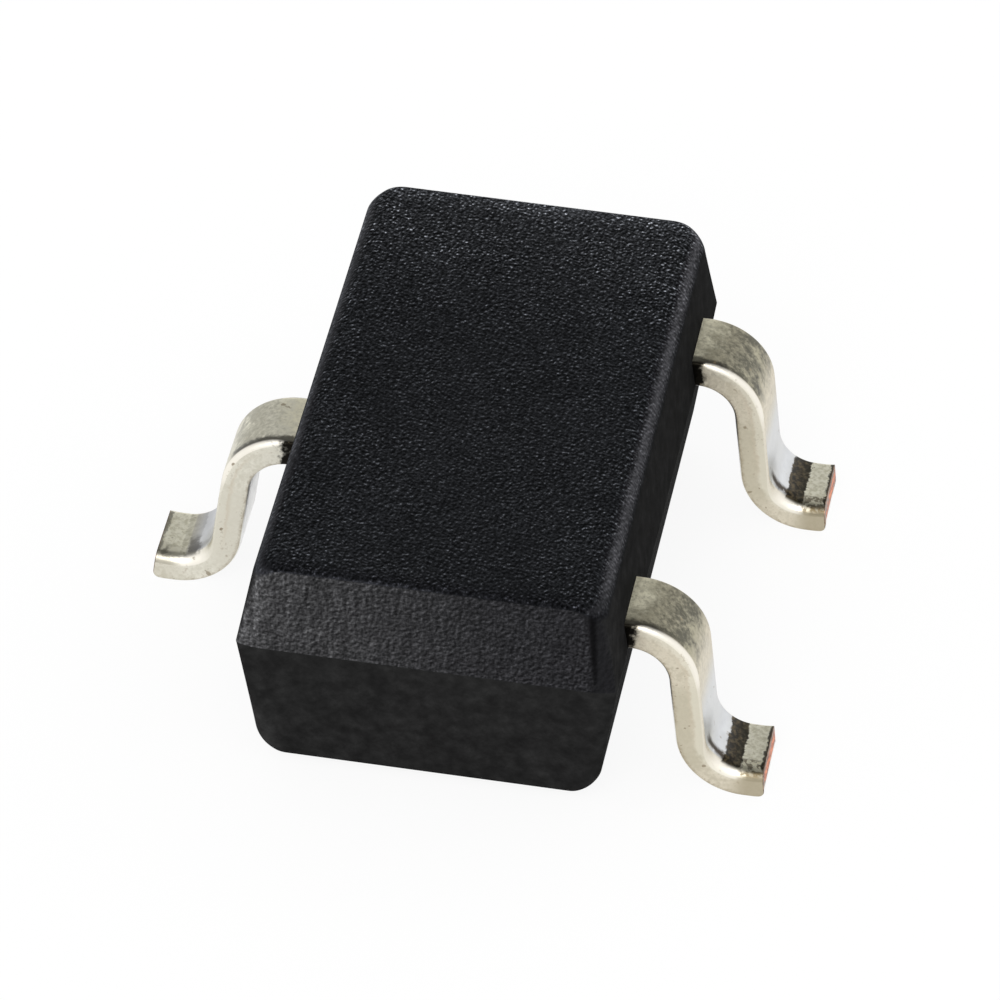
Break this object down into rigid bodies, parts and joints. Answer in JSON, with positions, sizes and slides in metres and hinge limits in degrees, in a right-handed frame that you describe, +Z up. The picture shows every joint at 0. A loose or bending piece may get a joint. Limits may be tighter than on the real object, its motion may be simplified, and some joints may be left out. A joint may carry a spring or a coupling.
{
  "type": "hall effect sensor",
  "caption": "Surface-mount magnetic field sensor: a small black moulded block with bent metal leads on its long sides.",
  "frame": {"origin": "below the middle of the body, on the seating plane under the feet", "axes": "+Z up from the board through the top face; +X towards the side with two leads; Y along the body"},
  "size_m": [0.003, 0.0028, 0.0012],
  "materials": {
    "mould_compound": "near-black moulding compound with a fine grain",
    "plated_lead": "matt tin plating over copper alloy, with bare copper on the cut ends",
    "adhesive": "cured paste",
    "silicon": "polished grey",
    "bond_wire": "bright gold"
  },
  "bodies": {
    "root": {"moulded_body": "mould_compound", "lead_supply": "plated_lead", "lead_output": "plated_lead", "lead_ground": "plated_lead", "die_attach": "adhesive", "hall_die": "silicon", "bond_wire_supply": "bond_wire", "bond_wire_output": "bond_wire", "bond_wire_ground": "bond_wire"}
  },
  "joints": []
}
